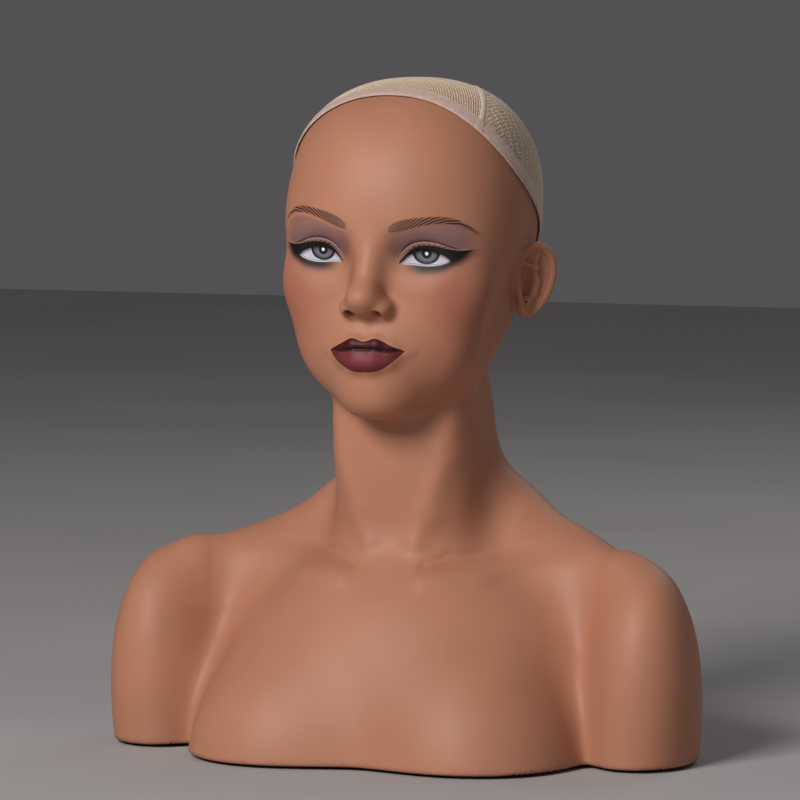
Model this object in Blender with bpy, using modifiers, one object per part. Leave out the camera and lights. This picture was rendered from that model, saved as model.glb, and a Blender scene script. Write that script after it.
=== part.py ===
"""Mannequin head-and-shoulders bust with a net wig cap, for wig work and styling practice.

The bust faces -Y, stands on Z = 0 and is centred on X = 0. The shell's form is written as a field in
millimetres that is negative inside the body; a net is laid on its surface and made in metres.
"""

import math

import bmesh
import bpy
import numpy as np
from mathutils import Matrix, Vector

MM = 0.001

# Driving dimensions, in millimetres. The form's own zero is the shell's lower edge.
FOOT_LIFT = 2.0
FORM_SHIFT_Y = -13.1
WALL = 3.5
CLEARANCE = 0.4
PLATE_THICKNESS = 4.0
PLATE_RECESS = 0.5
FOOT_RADIUS = 9.0
SCREW_RADIUS = 2.0
SCREW_HEAD_RADIUS = 4.0
SCREW_LENGTH = 14.0
BLOCK_SIZE = (20.0, 12.0, 12.0)

# How finely the shell is meshed: the step of the net laid over the form, and triangles kept.
SKIN_STEP = 2.6
SKIN_TRIANGLES = 8200
CAVITY_STEP = 7.0
CAVITY_TRIANGLES = 2600
LINING_STEP = 5.3
LINING_TRIANGLES = 1500
LINING_GAP = 2.6

# The wig cap, measured from the middle of the skull along the cap's own axis.
SKULL_CENTRE = np.array([0.0, 33.0, 345.0])
CAP_AXIS = np.array([0.0, 0.734, 0.679])
CAP_FORWARD = np.array([0.0, -0.679, 0.734])
CAP_PULL = np.array([0.0, 0.857, 0.515])
CAP_GAP = 1.2
NET_THICKNESS = 1.2
BAND_THICKNESS = 1.6
BAND_WIDTH_DEG = 7.0
SEAM_DEG = 42.0
SEAM_WIDTH = 4.0

# Middles of the blocks and of the feet on the plate, for the +X half, in form millimetres.
BLOCK_SPOTS = ((64.0, -77.0, 0), (174.0, 7.0, 90), (66.0, 83.0, 0))
FOOT_SPOTS = ((30.0, -64.0), (146.0, 4.0), (30.0, 84.0))

# The ear: its middle, its half sizes, how far it stands off the head and how far it leans back.
EAR_CENTRE = (73.0, 39.0, 293.0)
EAR_RADII = (15.5, 26.0)
EAR_FLARE_DEG = 33.0
EAR_LEAN_DEG = 9.0


# ---- Field helpers -----------------------------------------------------------------------------


def blend(a, b, width):
    """The union of two fields, rounded over this width."""
    share = np.clip(0.5 + 0.5 * (b - a) / width, 0, 1)
    return b + (a - b) * share - width * share * (1 - share)


def ellipsoid(p, centre, radii, power=2.0):
    q = [np.abs((p[i] - centre[i]) / radii[i]) + 1e-6 for i in range(3)]
    size = sum(v**power for v in q) ** (1 / power)
    slope = np.sqrt(sum((q[i] ** (power - 1) / radii[i]) ** 2 for i in range(3)))
    return (size - 1) / (slope * size ** (1 - power))


def limb(p, start, end):
    """A tapered round limb between two (x, y, z, radius) points."""
    along = [end[i] - start[i] for i in range(3)]
    length2 = sum(v * v for v in along)
    t = sum((p[i] - start[i]) * along[i] for i in range(3)) / length2
    t = np.clip(t, 0, 1)
    away = np.sqrt(sum((p[i] - start[i] - t * along[i]) ** 2 for i in range(3)))
    return away - (start[3] + (end[3] - start[3]) * t)


def limbs(p, points, width):
    field = limb(p, points[0], points[1])
    for start, end in zip(points[1:], points[2:]):
        field = blend(field, limb(p, start, end), width)
    return field


def mirrored(p, soft=3.0):
    """The point folded onto the +X side, rounded over the middle so that it leaves no crease."""
    return (np.sqrt(p[0] ** 2 + soft**2), p[1], p[2])


def swelling(p, centre, widths):
    return np.exp(-0.5 * sum(((p[i] - centre[i]) / widths[i]) ** 2 for i in range(3)))


# ---- The form ----------------------------------------------------------------------------------


def trunk(p):
    """Chest, back, shoulders and upper arms, with the hollows above the collarbones."""
    q = mirrored(p, 6.0)
    ribs = ellipsoid(p, (0, 10, -10), (128, 88, 138))
    back = ellipsoid(p, (0, 40, 34), (138, 58, 100))
    breast = ellipsoid(q, (64, -37, -14), (59, 56, 76))
    slope = limbs(q, ((0, 51.6, 186, 27), (50, 61, 139.5, 20), (98, 51, 107, 22.6), (140, 22, 113, 11)), 34)
    shoulder = ellipsoid(q, (162, 8, 36), (31.4, 44, 80.6), 2.15)
    arm = ellipsoid(q, (156.5, 8, -40), (31.2, 43, 150))
    field = blend(ribs, back, 34)
    field = blend(field, breast, 34)
    field = blend(field, slope, 33)
    field = blend(field, blend(shoulder, arm, 10), np.clip((p[2] + 40) * 0.3, 13, 38))
    field = field + 4.0 * swelling(q, (62, -14, 136), (30, 16, 10))
    return field + 2.4 * swelling(q, (0, -38, 118), (9, 9, 9))


def column(p):
    leaning = (p[0], p[1] - 52 + 0.1 * p[2], p[2])
    return ellipsoid(leaning, (0, 0, 150), (47.6, 50, 135), 3.0)


def ridge(p, line, width):
    """How strongly a line seen from the front, through these (x, z) points, lifts the surface."""
    flat = (p[0], 0.0 * p[1], p[2])
    away = limbs(flat, [(x, 0, z, 0) for x, z in line], 6)
    return np.exp(-((away / width) ** 2)) / (1 + np.exp(np.clip((p[1] - 12) / 6, -40, 40)))


def sinews(p):
    """How far the collarbones and the tendons of the neck stand proud."""
    q = mirrored(p, 3.0)
    bone = ridge(q, ((28, 113), (60, 116), (104, 123)), 7)
    tendon = ridge(q, ((46, 240), (37, 190), (24, 152), (14, 128)), 7)
    return 2.8 * bone + 3.2 * tendon


def head(p):
    q = mirrored(p, 2.0)
    field = ellipsoid(p, SKULL_CENTRE, (75, 86, 75), 2.3)
    field = blend(field, ellipsoid(p, (0, 0, 322), (66, 53, 60), 2.2), 20)
    field = blend(field, ellipsoid(p, (0, 0, 290), (63, 50, 66)), 16)
    field = blend(field, limbs(q, ((49, 26, 272, 13), (37, 2, 247, 15), (12, -32, 229, 14)), 12), 26)
    field = blend(field, ellipsoid(p, (0, -43.5, 227.5), (17, 15, 14)), 16)
    field = blend(field, ellipsoid(q, (38.8, -24.5, 292), (24.6, 18, 22)), 20)
    field = blend(field, ellipsoid(q, (27, -26, 261), (26, 20, 27)), 20)
    return blend(field, ellipsoid(p, (0, -38, 256), (28, 22, 26)), 18)


def features(p, field):
    """The nose, eye sockets, eyes and lips, added to the head."""
    q = mirrored(p, 1.0)
    field = blend(field, limbs(p, ((0, -44.5, 322, 7), (0, -52.5, 305, 7.5), (0, -64, 287, 9)), 5), 12)
    field = blend(field, ellipsoid(q, (10.4, -57.6, 281.5), (6.6, 9.6, 6.4)), 6)
    field = field + 4.0 * swelling(q, (33, -48, 314), (13, 14, 8))
    field = blend(field, ellipsoid(q, (34, -21.5, 312), (23, 21, 20)), 6)
    upper_lip = limbs(q, ((25, -50, 255, 2), (8, -60.6, 258.6, 4), (0, -61.4, 258.4, 4)), 3)
    lower_lip = limbs(q, ((24, -50, 253, 2), (6, -59.6, 248.8, 5.6), (0, -60, 248.8, 5.6)), 3)
    return blend(blend(field, upper_lip, 5), lower_lip, 5)


def core(p):
    """The form in the large, which the hollow inside follows."""
    return blend(blend(trunk(p), column(p), 18), head(p), 10)


def body(p):
    """The whole form without its ears."""
    neck = blend(trunk(p), column(p), 18) - sinews(p)
    return blend(neck, features(p, head(p)), 10)


def ear(p):
    """The ears: a cupped leaf with a raised helix, an inner fold, a tragus and a lobe."""
    flare, lean = math.radians(EAR_FLARE_DEG), math.radians(EAR_LEAN_DEG)
    x, y, z = np.abs(p[0]) - EAR_CENTRE[0], p[1] - EAR_CENTRE[1], p[2] - EAR_CENTRE[2]
    back = x * math.sin(flare) + y * math.cos(flare)
    out = x * math.cos(flare) - y * math.sin(flare)
    up = z * math.cos(lean) + back * math.sin(lean)
    back = back * math.cos(lean) - z * math.sin(lean)
    width = EAR_RADII[0] * (1.0 + 0.22 * np.clip(up / EAR_RADII[1], -1.2, 1.0))
    radius = np.sqrt((back / width) ** 2 + (up / EAR_RADII[1]) ** 2) + 1e-6
    reach_in = np.sqrt((back / width**2) ** 2 + (up / EAR_RADII[1] ** 2) ** 2) / radius + 1e-6
    cup = out - 3.2 * np.minimum(radius, 1.1) ** 2
    leaf = np.maximum(np.abs(cup) - 1.5, (radius - 0.96) / reach_in)
    helix = np.sqrt(((radius - 0.9) / reach_in) ** 2 + (cup - 0.8) ** 2) - 2.5
    fold = np.sqrt(((radius - 0.52) / reach_in) ** 2 + (cup - 0.4) ** 2) - 2.0
    fold = np.maximum(fold, -back - 1.0)
    lobe = ellipsoid((back, up, cup), (-2.0, -19.0, 0.4), (7.0, 8.0, 2.8))
    tragus = ellipsoid((back, up, out), (-12.0, -3.0, 1.5), (4.0, 5.0, 4.0))
    root = ellipsoid((back, up, out), (-4.0, 0.0, -8.0), (13.0, 20.0, 13.0))
    root = -blend(-cup, -root, 3.0)
    leaf = blend(leaf, helix, 2.0)
    leaf = blend(leaf, fold, 2.5)
    leaf = blend(blend(leaf, lobe, 4.0), tragus, 3.0)
    return blend(leaf, root, 4.0)


def skin(p):
    """The whole shell, ears included."""
    return blend(body(p), ear(p), 3.0)


def cap_void(p):
    """The head with the space that it passes through as the cap is pulled off it."""
    field = body(p)
    for step in (6, 14, 24, 36):
        field = np.minimum(field, body([p[i] + step * CAP_PULL[i] for i in range(3)]))
    return field


def reach(origins, directions, field, level, start=4.0, step=1.5, steps=190):
    """How far each ray goes from inside the field before it passes this level."""
    count = len(origins)
    near = np.full(count, start)
    far = np.full(count, start + step * steps)
    going = np.ones(count, bool)
    for k in range(1, steps + 1):
        ahead = start + step * k
        value = field(list((origins + directions * ahead).T)) - level
        out = going & (value > 0)
        far[out] = ahead
        going &= ~out
        near[going] = ahead
        if not going.any():
            break
    for _ in range(14):
        middle = 0.5 * (near + far)
        outside = field(list((origins + directions * middle[:, None]).T)) > level
        far = np.where(outside, middle, far)
        near = np.where(outside, near, middle)
    return 0.5 * (near + far)


# ---- Mesh helpers ------------------------------------------------------------------------------


def new_collection(name):
    made = bpy.data.collections.new(name)
    bpy.context.scene.collection.children.link(made)
    return made


for startup in list(bpy.data.objects):
    bpy.data.objects.remove(startup)
PARTS = new_collection("mannequin_training_head")
CUTTERS = new_collection("cutters")
CUTTERS.hide_render = True


def to_world(points):
    """Form millimetres to metres in the object's own frame."""
    shifted = np.asarray(points, float) + np.array([0.0, FORM_SHIFT_Y, FOOT_LIFT])
    return shifted * MM


def material(name, colour, roughness, metallic=0.0):
    found = bpy.data.materials.get(name)
    if found:
        return found
    made = bpy.data.materials.new(name)
    made.use_nodes = True
    shader = made.node_tree.nodes["Principled BSDF"]
    shader.inputs["Base Color"].default_value = (*colour, 1.0)
    shader.inputs["Roughness"].default_value = roughness
    shader.inputs["Metallic"].default_value = metallic
    return made


def finish(bm, name, collection, mat=None, smooth=True):
    bmesh.ops.recalc_face_normals(bm, faces=bm.faces)
    mesh = bpy.data.meshes.new(name)
    bm.to_mesh(mesh)
    bm.free()
    if smooth:
        mesh.shade_smooth()
        mesh.set_sharp_from_angle(angle=math.radians(40))
    obj = bpy.data.objects.new(name, mesh)
    collection.objects.link(obj)
    if collection is CUTTERS:
        obj.hide_render = True
        obj.display_type = "WIRE"
    if mat:
        mesh.materials.append(mat)
    return obj


def boolean(obj, other, operation):
    modifier = obj.modifiers.new(operation.title() + "_" + other.name, "BOOLEAN")
    modifier.operation = operation
    modifier.object = other
    modifier.solver = "EXACT"


def net_cells(field, low, high, step, block):
    """Field values at the corners of every block that the surface may pass through."""
    counts = np.ceil((high - low) / (step * block)).astype(int)
    places = np.stack(np.meshgrid(*map(np.arange, counts), indexing="ij"), -1).reshape(-1, 3)
    size = step * block
    middle = field(list((low + (places + 0.5) * size).T))
    places = places[np.abs(middle) < 1.3 * size]
    corners = np.stack(np.meshgrid(*[np.arange(block + 1)] * 3, indexing="ij"), -1)
    index = places[:, None, None, None, :] * block + corners
    values = np.concatenate([
        field(list(np.moveaxis(low + part * step, -1, 0))) for part in np.array_split(index, 12)
    ])
    return index, values, counts * block


def unpinch(values, index, counts):
    """Fills a corner of each grid square where two parts of the surface would share one edge."""
    wide = counts + 1
    number = (index[..., 0] * wide[1] + index[..., 1]) * wide[2] + index[..., 2]
    first, last = slice(None, -1), slice(1, None)
    for _ in range(6):
        filled = []
        for one, two in ((1, 2), (1, 3), (2, 3)):
            views = []
            for a, b in ((first, first), (last, first), (last, last), (first, last)):
                part = [slice(None)] * 4
                part[one], part[two] = a, b
                views.append(tuple(part))
            square = np.stack([values[view] for view in views], -1)
            held = square < 0
            pinched = (held[..., 0] == held[..., 2]) & (held[..., 1] == held[..., 3])
            pinched &= held[..., 0] != held[..., 1]
            nearest = np.where(held, np.inf, square)[pinched].argmin(-1)
            named = np.stack([number[view] for view in views], -1)[pinched]
            filled.append(named[np.arange(len(named)), nearest])
        filled = np.unique(np.concatenate(filled))
        if not len(filled):
            break
        values[np.isin(number, filled)] = -0.01
    return values


def settle(points, field, rounds=3, reach_mm=0.05):
    """The points moved along the field's slope until they lie on its surface."""
    for _ in range(rounds):
        value = field(list(points.T))
        slope = np.empty_like(points)
        for axis in range(3):
            ahead = points.copy()
            ahead[:, axis] += reach_mm
            behind = points.copy()
            behind[:, axis] -= reach_mm
            slope[:, axis] = (field(list(ahead.T)) - field(list(behind.T))) / (2 * reach_mm)
        size = np.maximum((slope**2).sum(1), 0.05)
        points = points - slope * np.clip(value / size, -1.5, 1.5)[:, None]
    return points


def net_surface(field, low, high, step, block=8):
    """Points and four-sided faces of the surface where the field is zero."""
    low, high = np.asarray(low, float), np.asarray(high, float)
    index, values, counts = net_cells(field, low, high, step, block)
    inside = unpinch(values, index, counts) < 0
    steps = [(a, b, c) for a in (0, 1) for b in (0, 1) for c in (0, 1)]
    corners = [inside[:, a : a + block, b : b + block, c : c + block] for a, b, c in steps]
    held = np.sum(corners, axis=0)
    active = (held > 0) & (held < 8)
    cell = index[:, :block, :block, :block][active]
    ident = (cell[:, 0] * counts[1] + cell[:, 1]) * counts[2] + cell[:, 2]
    value = np.stack([
        values[:, a : a + block, b : b + block, c : c + block][active] for a, b, c in steps
    ], 1)
    total, crossed = np.zeros((len(cell), 3)), np.zeros(len(cell))
    for i, first in enumerate(steps):
        for j, second in enumerate(steps):
            if j <= i or sum(abs(a - b) for a, b in zip(first, second)) != 1:
                continue
            change = (value[:, i] < 0) != (value[:, j] < 0)
            share = np.where(change, value[:, i] / (value[:, i] - value[:, j] + ~change), 0.0)
            spot = np.array(first) + share[:, None] * (np.array(second) - np.array(first))
            total += np.where(change[:, None], spot, 0.0)
            crossed += change
    points = low + (cell + total / crossed[:, None]) * step
    order = np.argsort(ident)
    faces = net_faces(inside, index, counts, ident[order], order, block)
    return points, faces


def net_faces(inside, index, counts, ident, order, block):
    """One four-sided face for every grid edge that crosses the surface."""
    found = []
    for axis in range(3):
        one, two = (axis + 1) % 3, (axis + 2) % 3
        near = [slice(0, block)] * 3
        far = list(near)
        far[axis] = slice(1, block + 1)
        here, there = inside[(slice(None), *near)], inside[(slice(None), *far)]
        crossing = here != there
        place = index[(slice(None), *near)][crossing]
        leaving = here[crossing]
        around = []
        for back_one, back_two in ((1, 1), (0, 1), (0, 0), (1, 0)):
            spot = place.copy()
            spot[:, one] -= back_one
            spot[:, two] -= back_two
            number = (spot[:, 0] * counts[1] + spot[:, 1]) * counts[2] + spot[:, 2]
            slot = np.clip(np.searchsorted(ident, number), 0, len(ident) - 1)
            around.append(np.where(ident[slot] == number, order[slot], -1))
        quad = np.stack(around, 1)
        quad[~leaving] = quad[~leaving][:, ::-1]
        found.append(quad[(quad >= 0).all(1)])
    return np.concatenate(found)


def form_body(name, field, box, step, triangles, collection, mat=None):
    """A closed body on the zero of this field, thinned to about this many triangles."""
    points, faces = net_surface(field, box[0], box[1], step)
    points = settle(points, field)
    mesh = bpy.data.meshes.new(name)
    mesh.from_pydata(to_world(points).tolist(), [], faces.tolist())
    bm = bmesh.new()
    bm.from_mesh(mesh)
    bpy.data.meshes.remove(mesh)
    count = 2 * len(bm.faces)
    obj = finish(bm, name, collection, mat)
    thin = obj.modifiers.new("Thin", "DECIMATE")
    thin.ratio = min(1.0, triangles / count)
    return obj


def box_body(name, low, high, collection=None):
    """A plain box between two form corners."""
    bm = bmesh.new()
    middle = (np.array(low) + np.array(high)) / 2
    place = Matrix.Translation(Vector(to_world(middle)))
    size = Matrix.Diagonal((*((np.array(high) - np.array(low)) * MM), 1.0))
    bmesh.ops.create_cube(bm, size=1.0, matrix=place @ size)
    return finish(bm, name, collection or CUTTERS, smooth=False)


def cylinder(name, radius, depth, centre, collection, mat=None, segments=20, top_radius=None):
    bm = bmesh.new()
    bmesh.ops.create_cone(
        bm,
        cap_ends=True,
        segments=segments,
        radius1=radius * MM,
        radius2=(radius if top_radius is None else top_radius) * MM,
        depth=depth * MM,
        matrix=Matrix.Translation(Vector(centre) * MM),
    )
    return finish(bm, name, collection, mat)


# ---- The bust ----------------------------------------------------------------------------------


def deepened(field, level, floor):
    """The field taken in by this much and closed with a flat face at this height."""
    return lambda p: np.maximum(field(p) + level, floor - p[2])


def make_shell(mat):
    box = ((-200.0, -115.0, -10.0), (200.0, 135.0, 432.0))
    shell = form_body(
        "bust_shell", deepened(skin, 0.0, -8.0), box, SKIN_STEP, SKIN_TRIANGLES, PARTS, mat
    )
    inner = deepened(core, WALL, -6.0)
    cavity = form_body("cavity", inner, box, CAVITY_STEP, CAVITY_TRIANGLES, CUTTERS)
    boolean(shell, cavity, "DIFFERENCE")
    boolean(shell, box_body("below_edge", (-300, -300, -40), (300, 300, 0)), "DIFFERENCE")
    return shell


def make_lining():
    """The room just inside the shell's lower end, to which the plate and the blocks are trimmed."""
    box = ((-200.0, -115.0, -10.0), (200.0, 135.0, 40.0))
    field = deepened(core, WALL + LINING_GAP, -6.0)
    capped = lambda p: np.maximum(field(p), p[2] - 34.0)
    return form_body("lining", capped, box, LINING_STEP, LINING_TRIANGLES, CUTTERS)


def both_sides(spots):
    """Each spot of the +X half, followed by its mirror image."""
    return [(side * spot[0], *spot[1:]) for spot in spots for side in (1, -1)]


def make_plate(lining, mat):
    """The closing plate, let into the open bottom and screwed up into six blocks."""
    low, high = PLATE_RECESS, PLATE_RECESS + PLATE_THICKNESS
    plate = box_body("base_plate", (-195, -112, low), (195, 130, high), PARTS)
    plate.data.materials.append(mat)
    boolean(plate, lining, "INTERSECT")
    under = FOOT_LIFT + PLATE_RECESS
    for k, (x, y, _) in enumerate(both_sides(BLOCK_SPOTS)):
        y += FORM_SHIFT_Y
        hole = cylinder(f"plate_hole_{k + 1}", SCREW_RADIUS + 0.5, 12, (x, y, under), CUTTERS)
        boolean(plate, hole, "DIFFERENCE")
        sink = cylinder(
            f"plate_sink_{k + 1}", SCREW_HEAD_RADIUS + 1.8, 4.4, (x, y, under + 1.2), CUTTERS,
            top_radius=SCREW_RADIUS + 0.4,
        )
        boolean(plate, sink, "DIFFERENCE")


def make_fixings(lining, screw_mat, block_mat, foot_mat):
    plate_top = PLATE_RECESS + PLATE_THICKNESS
    low, high = plate_top + 0.3, plate_top + 0.3 + BLOCK_SIZE[2]
    pilot_depth = SCREW_LENGTH - PLATE_THICKNESS + 1.5
    for k, (x, y, turn) in enumerate(both_sides(BLOCK_SPOTS)):
        along, across = (BLOCK_SIZE[1], BLOCK_SIZE[0]) if turn else BLOCK_SIZE[:2]
        corners = (x - along / 2, y - across / 2, low), (x + along / 2, y + across / 2, high)
        block = box_body(f"base_block_{k + 1}", *corners, PARTS)
        block.data.materials.append(block_mat)
        boolean(block, lining, "INTERSECT")
        middle = (x, y + FORM_SHIFT_Y, FOOT_LIFT + low - 4 + (pilot_depth + 4) / 2)
        pilot = cylinder(
            f"block_pilot_{k + 1}", SCREW_RADIUS + 0.4, pilot_depth + 4, middle, CUTTERS, segments=12
        )
        boolean(block, pilot, "DIFFERENCE")
        make_screw(k + 1, x, y + FORM_SHIFT_Y, FOOT_LIFT + PLATE_RECESS + 0.3, screw_mat)
    depth = FOOT_LIFT + PLATE_RECESS - 0.3
    for k, (x, y) in enumerate(both_sides(FOOT_SPOTS)):
        foot = cylinder(
            f"base_foot_{k + 1}", FOOT_RADIUS - 0.5, depth, (x, y + FORM_SHIFT_Y, depth / 2), PARTS,
            foot_mat, top_radius=FOOT_RADIUS,
        )
        foot.data.shade_flat()


def make_screw(number, x, y, low, mat):
    """A countersunk screw with a cross-slot head, turned as one profile."""
    profile = (
        (0.0, low + SCREW_LENGTH),
        (0.7, low + SCREW_LENGTH - 0.6),
        (SCREW_RADIUS, low + SCREW_LENGTH - 3.0),
        (SCREW_RADIUS, low + 2.2),
        (SCREW_HEAD_RADIUS, low + 0.3),
        (SCREW_HEAD_RADIUS, low),
        (0.0, low),
    )
    mesh = bpy.data.meshes.new(f"base_screw_{number}")
    points = [(radius * MM, 0.0, height * MM) for radius, height in profile]
    mesh.from_pydata(points, [(i, i + 1) for i in range(len(points) - 1)], [])
    mesh.materials.append(mat)
    screw = bpy.data.objects.new(mesh.name, mesh)
    PARTS.objects.link(screw)
    screw.location = (x * MM, y * MM, 0.0)
    turned = screw.modifiers.new("Turned", "SCREW")
    turned.steps = 14
    turned.render_steps = 14
    turned.use_merge_vertices = True
    turned.merge_threshold = 0.00001


# ---- The wig cap -------------------------------------------------------------------------------


def rim_deg(around):
    """The rim's angle from the cap's axis: high at the forehead, low at the temples and the nape."""
    return 88.4 - 4.7 * np.cos(3 * around)


def cap_points(polar, around, gap):
    """World points on the cap's sheet. Both angles in radians; around is 0 at the forehead."""
    ray = (
        np.cos(polar)[:, None] * CAP_AXIS
        + (np.sin(polar) * np.cos(around))[:, None] * CAP_FORWARD
        + (np.sin(polar) * np.sin(around))[:, None] * np.array([1.0, 0.0, 0.0])
    )
    origins = np.tile(SKULL_CENTRE, (len(ray), 1))
    return to_world(origins + ray * reach(origins, ray, cap_void, gap, start=60.0, step=1.0, steps=60)[:, None])


def dome_sheet(gap, rows=11, segments=36):
    """An open dome from the cap's crown down to the top of its band."""
    bm = bmesh.new()
    bmesh.ops.create_uvsphere(bm, u_segments=segments, v_segments=2 * rows, radius=1.0)
    lower = [vert for vert in bm.verts if vert.co.z < -1e-4]
    bmesh.ops.delete(bm, geom=lower, context="VERTS")
    share = np.array([math.acos(max(-1.0, min(1.0, vert.co.z))) for vert in bm.verts]) / (math.pi / 2)
    around = np.array([math.atan2(vert.co.x, vert.co.y) for vert in bm.verts])
    limit = np.radians(rim_deg(around) - BAND_WIDTH_DEG - 0.4)
    for vert, point in zip(bm.verts, cap_points(share * limit, around, gap)):
        vert.co = point
    return bm


def thicken(obj, thickness):
    solid = obj.modifiers.new("Thickness", "SOLIDIFY")
    solid.thickness = thickness * MM
    solid.offset = 1.0
    solid.use_even_offset = True


def seam_side():
    """The direction square to the seam, in the plane of the rim."""
    angle = math.radians(SEAM_DEG)
    return math.cos(angle) * np.array([1.0, 0.0, 0.0]) - math.sin(angle) * CAP_FORWARD


def make_net(name, side, mat):
    bm = dome_sheet(CAP_GAP)
    square = seam_side() * side
    middle = to_world(SKULL_CENTRE) + square * 0.3 * MM
    geometry = bm.verts[:] + bm.edges[:] + bm.faces[:]
    bmesh.ops.bisect_plane(
        bm, geom=geometry, dist=1e-6, plane_co=middle, plane_no=square, clear_inner=True
    )
    net = finish(bm, name, PARTS, mat)
    thicken(net, NET_THICKNESS)


def make_band(mat, segments=60, rows=2):
    bm = bmesh.new()
    around = 2 * math.pi * np.arange(segments) / segments
    rings = []
    for k in range(rows + 1):
        polar = np.radians(rim_deg(around) - BAND_WIDTH_DEG * (1 - k / rows))
        rings.append([bm.verts.new(point) for point in cap_points(polar, around, CAP_GAP)])
    for upper, lower in zip(rings, rings[1:]):
        for i in range(segments):
            j = (i + 1) % segments
            bm.faces.new((upper[i], lower[i], lower[j], upper[j]))
    band = finish(bm, "cap_band", PARTS, mat)
    thicken(band, BAND_THICKNESS)


def strip(name, start_deg, end_deg, steps, width, gap, thickness, mat):
    """A tape laid over the cap along the seam; degrees run from the front rim over the crown."""
    square = seam_side()
    bm = bmesh.new()
    rows = []
    for angle in np.radians(np.linspace(start_deg, end_deg, steps)):
        row = []
        for across in (-0.5, 0.5):
            along = math.cos(math.radians(SEAM_DEG)) * CAP_FORWARD
            along = along + math.sin(math.radians(SEAM_DEG)) * np.array([1.0, 0.0, 0.0])
            ray = math.cos(angle) * CAP_AXIS + math.sin(angle) * along + across * width / 82.0 * square
            ray = (ray / np.linalg.norm(ray))[None]
            origin = SKULL_CENTRE[None]
            far = reach(origin, ray, cap_void, gap, start=60.0, step=1.0, steps=60)
            row.append(bm.verts.new(to_world(origin + ray * far[:, None])[0]))
        rows.append(row)
    for before, after in zip(rows, rows[1:]):
        bm.faces.new((before[0], before[1], after[1], after[0]))
    bmesh.ops.recalc_face_normals(bm, faces=bm.faces)
    outward = Vector(to_world(SKULL_CENTRE))
    middle_face = bm.faces[:][len(bm.faces) // 2]
    if (middle_face.calc_center_median() - outward).dot(middle_face.normal) < 0:
        bmesh.ops.reverse_faces(bm, faces=bm.faces[:])
    mesh = bpy.data.meshes.new(name)
    bm.to_mesh(mesh)
    bm.free()
    mesh.materials.append(mat)
    tape = bpy.data.objects.new(name, mesh)
    PARTS.objects.link(tape)
    thicken(tape, thickness)


def make_cap():
    net_mat = material("cap_net", (0.53, 0.44, 0.29), 0.85)
    band_mat = material("cap_elastic", (0.52, 0.38, 0.29), 0.8)
    make_net("cap_net_front", -1, net_mat)
    make_net("cap_net_rear", 1, net_mat)
    make_band(band_mat)
    limit = math.radians(SEAM_DEG)
    front = float(rim_deg(limit)) - BAND_WIDTH_DEG
    back = float(rim_deg(limit + math.pi)) - BAND_WIDTH_DEG
    outside = CAP_GAP + NET_THICKNESS + 0.4
    strip("cap_seam_tape", front - 1, -back + 1, 22, SEAM_WIDTH, outside, 0.8, band_mat)
    outside = CAP_GAP + BAND_THICKNESS + 0.4
    strip("cap_band_join", front + 1, front + BAND_WIDTH_DEG - 1, 3, 12.0, outside, 0.8, band_mat)


def main():
    make_shell(material("painted_skin", (0.45, 0.21, 0.13), 0.45))
    lining = make_lining()
    make_plate(lining, material("base_board", (0.05, 0.045, 0.04), 0.6))
    make_fixings(
        lining,
        material("zinc_steel", (0.6, 0.6, 0.58), 0.35, 1.0),
        material("block_wood", (0.55, 0.4, 0.25), 0.7),
        material("foot_rubber", (0.02, 0.02, 0.02), 0.8),
    )
    make_cap()


main()
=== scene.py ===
"""Looks of the mannequin training head: a painted display bust with a net wig cap.

The bust faces -Y and stands on Z = 0. Its form is a field in millimetres, negative inside the body, with
its zero height at the shell's lower edge. Meshes are laid on that field and made in metres.
"""

import math

import bpy
import numpy as np
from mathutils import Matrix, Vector

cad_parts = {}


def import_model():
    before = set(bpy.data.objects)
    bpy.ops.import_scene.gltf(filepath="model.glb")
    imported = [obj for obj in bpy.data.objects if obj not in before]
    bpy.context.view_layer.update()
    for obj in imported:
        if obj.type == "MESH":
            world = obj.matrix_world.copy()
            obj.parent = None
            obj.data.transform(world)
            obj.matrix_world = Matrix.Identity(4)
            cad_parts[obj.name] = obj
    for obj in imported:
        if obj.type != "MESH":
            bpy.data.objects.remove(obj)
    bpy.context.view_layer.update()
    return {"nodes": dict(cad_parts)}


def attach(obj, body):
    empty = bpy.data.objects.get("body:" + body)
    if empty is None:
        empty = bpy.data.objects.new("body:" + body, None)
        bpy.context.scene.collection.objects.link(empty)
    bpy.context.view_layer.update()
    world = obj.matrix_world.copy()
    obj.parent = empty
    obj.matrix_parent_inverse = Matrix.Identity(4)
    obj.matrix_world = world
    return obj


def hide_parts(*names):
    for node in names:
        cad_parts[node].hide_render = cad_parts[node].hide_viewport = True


MM = 0.001

# From the form's own millimetres to the frame's.
FORM_SHIFT = np.array([0.0, -13.1, 2.0])

# The shell's wall, the depth of the recess under it and the rounding of its lower edge.
WALL = 3.5
RECESS_DEPTH = 22.0
EDGE_ROUNDING = 2.4

# The ear: its middle, its half sizes, how far it stands off the head and how far it leans back.
EAR_CENTRE = (73.0, 39.0, 294.8)
EAR_RADII = (15.5, 24.2)
EAR_FLARE_DEG = 33.0
EAR_LEAN_DEG = 9.0

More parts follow.
